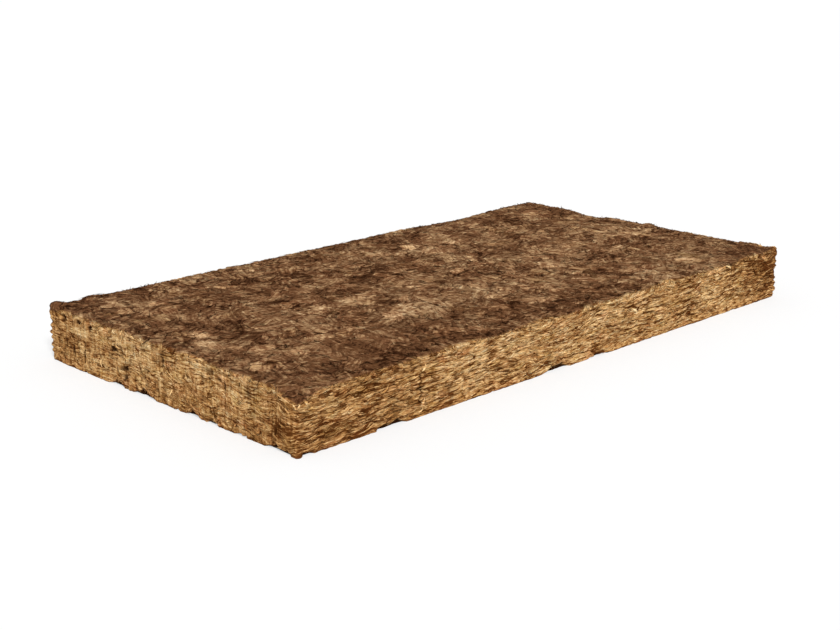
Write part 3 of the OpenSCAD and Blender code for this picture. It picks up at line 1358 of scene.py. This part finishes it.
@dataclass
class Fleece:
    """All the licks and flakes on the slab: the cut ends, strands and mats of the fibre."""

    patches: tuple[Patch, ...] = (
        Patch("front", Surface.FRONT, LICKS, 3, 125000.0, (6.0, 26.0), (0.6, 1.3), (0.4, 1.1), 12.0),
        Patch("front_tufts", Surface.FRONT, LICKS, 5, 2600.0, (10.0, 28.0), (2.0, 5.0), (1.0, 2.6), 34.0,
              1.2, (0.0, 0.8)),
        Patch("left_tufts", Surface.LEFT, LICKS, 25, 2200.0, (8.0, 20.0), (2.0, 4.5), (0.8, 2.0), 80.0,
              1.2),
        Patch("back", Surface.BACK, LICKS, 13, 75000.0, (7.0, 32.0), (0.6, 1.6), (0.4, 1.2), 9.0, 0.4),
        Patch("left", Surface.LEFT, LICKS, 23, 34000.0, (7.0, 26.0), (0.6, 1.9), (0.3, 0.8), 24.0,
              1.0, (0.08, 0.9)),
        Patch("right", Surface.RIGHT, LICKS, 33, 34000.0, (7.0, 26.0), (0.6, 1.9), (0.3, 0.8), 24.0,
              1.0, (0.08, 0.9)),
        Patch("top", Surface.TOP, LICKS, 43, 3800.0, (12.0, 38.0), (1.2, 4.2), (0.4, 1.2), 40.0,
              1.0, (0.3, 0.7)),
        Patch("top_flakes", Surface.TOP, FLAKES, 47, 1300.0, (30.0, 100.0), (16.0, 46.0), (0.8, 1.8), 44.0,
              2.0, (0.14, 0.84)),
        Patch("top_mats", Surface.TOP, FLAKES, 71, 75.0, (34.0, 88.0), (18.0, 44.0), (1.4, 2.2), 50.0,
              1.6, (0.75, 1.0)),
        Patch("border", Surface.BORDER, LICKS, 49, 6500.0, (9.0, 26.0), (1.2, 4.4), (0.4, 1.3), 46.0,
              1.0, (0.22, 0.78)),
        Patch("border_flakes", Surface.BORDER, FLAKES, 59, 4800.0, (12.0, 32.0), (8.0, 18.0), (0.6, 1.4),
              46.0, 1.2, (0.1, 0.9)),
        Patch("underside", Surface.UNDERSIDE, LICKS, 53, 2500.0, (14.0, 45.0), (1.4, 3.2), (0.4, 1.0), 60.0,
              1.2),
        Patch("rim", Surface.RIM, LICKS, 63, 60000.0, (5.0, 14.0), (0.8, 1.8), (0.5, 1.4), 38.0),
    )

    def make(self, slab: Object, finish: bpy.types.Material) -> list[Object]:
        """Lays every patch.

        Args:
            slab: The skin that they lie on.
            finish: The material that they take.

        Returns:
            One piece for each patch.
        """
        tree = LickTree(finish)
        pieces = []
        for patch in self.patches:
            shapes = bpy.data.collections.new("shapes")
            for number, shape in enumerate(patch.shapes):
                shapes.objects.link(shape.make(f"shape_{number}"))
            pieces.append(tree.lay(slab, "wool_" + patch.name, patch.settings(shapes)))
            for shape in list(shapes.objects):
                bpy.data.objects.remove(shape)
            bpy.data.collections.remove(shapes)
        bpy.data.node_groups.remove(tree.tree)
        return pieces


@dataclass(frozen=True)
class Lock:
    """A pale lock of fibre that has come out of the felt. Lengths are in millimetres.

    Root and tip are measured from the slab's low corner, and arch is how far it bows outwards.
    """

    root: Triple
    tip: Triple
    arch: Triple
    width: float
    sides: int = 5
    rings: int = 7

    def shell(self) -> tuple[list[Vector], Faces]:
        """The lock's closed shell, which tapers to a point at its root and its tip.

        Returns:
            Its points, in millimetres from the low corner, and its faces.
        """
        root, tip, count = Vector(self.root), Vector(self.tip), self.sides
        middle = (root + tip) / 2 + Vector(self.arch)
        points, faces = [root], []
        for ring in range(self.rings):
            share = (ring + 1) / (self.rings + 1)
            centre = root * (1 - share) ** 2 + middle * 2 * share * (1 - share) + tip * share**2
            along = ((middle - root) * (1 - share) + (tip - middle) * share).normalized()
            across = along.cross(Vector(self.arch)).normalized()
            outward = across.cross(along)
            half = 0.5 * self.width * math.sin(math.pi * share**0.8) ** 0.8
            for side in range(count):
                turn = 2 * math.pi * side / count
                points.append(centre + half * (math.cos(turn) * across + 0.6 * math.sin(turn) * outward))
        points.append(tip)
        last = 1 + count * (self.rings - 1)
        for side in range(count):
            after = (side + 1) % count
            faces.append((0, 1 + after, 1 + side))
            for here in range(1, last, count):
                faces.append((here + side, here + after, here + count + after, here + count + side))
            faces.append((len(points) - 1, last + side, last + after))
        return points, faces


@dataclass
class Locks:
    """The locks that stand out of the felt at the crushed corner, the cleft and the foot."""

    low: Vector
    sawn: float = 1.0
    relief: float = 0.75
    tone: float = 0.60
    tint: float = 0.72
    locks: tuple[Lock, ...] = (
        Lock((4, 4, 67), (1, 9, 76), (-3, -3, 0), 2.8),
        Lock((4, 4, 67), (8, 1, 76), (-3, -3, 0), 2.8),
        Lock((19, 0, 74), (14, 0, 78), (0, -3, 0), 5.0),
        Lock((3, 3, 54), (5, 2, 60), (-2, -2, 0), 4.0),
        Lock((2, 552, 75), (1, 506, 67), (-3, 0, 1.5), 5.0),
        Lock((236, 2, 11), (247, -1, 27), (0, -4, 1), 5.5),
        Lock((241, 2, 66), (249, 0, 80), (1, -4, 0), 4.0),
    )

    def make(self, finish: bpy.types.Material) -> Object:
        """Builds all the locks as one piece.

        Args:
            finish: The material that they take.

        Returns:
            The locks.
        """
        points, faces = [], []
        for lock in self.locks:
            own_points, own_faces = lock.shell()
            faces += [tuple(len(points) + i for i in face) for face in own_faces]
            points += own_points
        mesh = new_mesh("wool_locks", [self.low + point * MM for point in points], faces)
        for name in ("sawn", "relief", "tone", "tint"):
            mark(mesh, name, np.full(len(points), getattr(self, name)))
        mark(mesh, "grain", np.array([point * MM for point in points]))
        mesh.materials.append(finish)
        return shown("wool_locks", mesh)


@dataclass
class Studio:
    """A plain pale floor, soft light and the camera, set out from the slab's own box."""

    low: Vector
    high: Vector
    floor_radius: float = 30.0
    floor_sides: int = 96
    floor_colour: str = "#f8f8f8"
    floor_glow: float = 0.55
    sky_strength: float = 0.52
    key_strength: float = 2.8
    key_spread: float = 11.0
    key_azimuth: float = -30.0
    key_height: float = 40.0
    azimuth: float = -43.37
    elevation: float = 16.18
    stand_off: Triple = (-0.997, -1.137, 0.606)
    lens: float = 62.06
    sensor: float = 36.0
    sideways_shift: float = 0.0869

    def _turned(self, piece: Object, azimuth: float, elevation: float) -> None:
        """Turns a lamp or the camera to look at the slab.

        Args:
            piece: The lamp or camera.
            azimuth: Which side it looks from, in degrees.
            elevation: How high it looks from, in degrees.
        """
        a, e = math.radians(azimuth), math.radians(elevation)
        back = Vector((math.sin(a) * math.cos(e), -math.cos(a) * math.cos(e), math.sin(e)))
        piece.rotation_mode = "QUATERNION"
        piece.rotation_quaternion = back.to_track_quat("Z", "Y")

    def _seen(self, tree: Tree) -> Socket:
        """Tells what the camera sees from what only lights the slab.

        Args:
            tree: The node tree to add to.

        Returns:
            1 where the camera looks, straight or through a gloss or glass, and 0 where light only bounces.
        """
        path = add(tree, "ShaderNodeLightPath").node.outputs
        seen = path["Is Camera Ray"]
        for kind in ("Is Glossy Ray", "Is Transmission Ray"):
            seen = add(tree, MATH, {0: seen, 1: path[kind]}, operation="MAXIMUM")
        return seen

    def floor(self) -> None:
        """Lays a round white floor that keeps the slab's shadow."""
        turns = [2 * math.pi * i / self.floor_sides for i in range(self.floor_sides)]
        radius, level = self.floor_radius, self.low.z
        points = [(radius * math.cos(t), radius * math.sin(t), level) for t in turns]
        mesh = new_mesh("studio_floor", points, [tuple(range(self.floor_sides))], False)

        # Matt white paper, which scatters light evenly. To the camera it glows in part, so that
        # only the shadow on it is darker than the sky.
        material = bpy.data.materials.new("white_paper_sweep")
        tree = cleared(material)
        lit = add(tree, "ShaderNodeBsdfDiffuse", {"Color": linear(self.floor_colour)})
        glow = add(tree, "ShaderNodeEmission", {"Color": linear(WHITE), "Strength": 1.0})
        share = weighed(tree, (self._seen(tree), self.floor_glow))
        both = add(tree, "ShaderNodeMixShader", {0: share, 1: lit, 2: glow})
        add(tree, "ShaderNodeOutputMaterial", {"Surface": both})
        mesh.materials.append(material)
        floor = shown("studio_floor", mesh)

    def light(self) -> None:
        """Lights the slab from a pale sky and one broad, soft lamp over the camera."""
        world = bpy.data.worlds.new("studio_sky")
        bpy.context.scene.world = world
        tree = cleared(world)
        ambient, white = [add(tree, "ShaderNodeBackground", {"Color": linear(WHITE), "Strength": strength})
                          for strength in (self.sky_strength, 1.0)]
        mixed = add(tree, "ShaderNodeMixShader", {0: self._seen(tree), 1: ambient, 2: white})
        add(tree, "ShaderNodeOutputWorld", {"Surface": mixed})
        lamp = bpy.data.lights.new("key_lamp", "SUN")
        lamp.energy = self.key_strength
        lamp.angle = math.radians(self.key_spread)
        self._turned(shown("key_lamp", lamp), self.key_azimuth, self.key_height)

    def camera(self) -> None:
        """Sets the camera low and off the crushed corner, looking across the slab."""
        data = bpy.data.cameras.new("camera")
        data.lens = self.lens
        data.sensor_width = self.sensor
        data.shift_x = self.sideways_shift
        data.clip_end = 3 * self.floor_radius
        camera = shown("camera", data)
        camera.location = self.low + Vector(self.stand_off) * (self.high.x - self.low.x)
        self._turned(camera, self.azimuth, self.elevation)
        bpy.context.scene.camera = camera


def triangles(piece: Object) -> int:
    """The number of triangles in a piece's mesh."""
    return sum(len(face.vertices) - 2 for face in piece.data.polygons)


def main() -> None:
    """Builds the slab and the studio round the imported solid."""
    logging.basicConfig(level=logging.INFO, format="%(name)s: %(message)s")
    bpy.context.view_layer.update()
    low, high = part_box(SOLID)
    view = bpy.context.scene.view_settings
    view.view_transform = "Standard"

    studio = Studio(low, high)
    studio.camera()
    studio.floor()
    studio.light()

    finish = GlassWoolFinish().make()
    slab = Slab(low, high).make(finish)
    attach(slab, BODY)
    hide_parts(SOLID)
    LOG.info("%s: %d triangles", slab.name, triangles(slab))
    for piece in (*Fleece().make(slab, finish), Locks(low).make(finish)):
        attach(piece, BODY)
        LOG.info("%s: %d triangles", piece.name, triangles(piece))


if __name__ == "__main__":
    main()
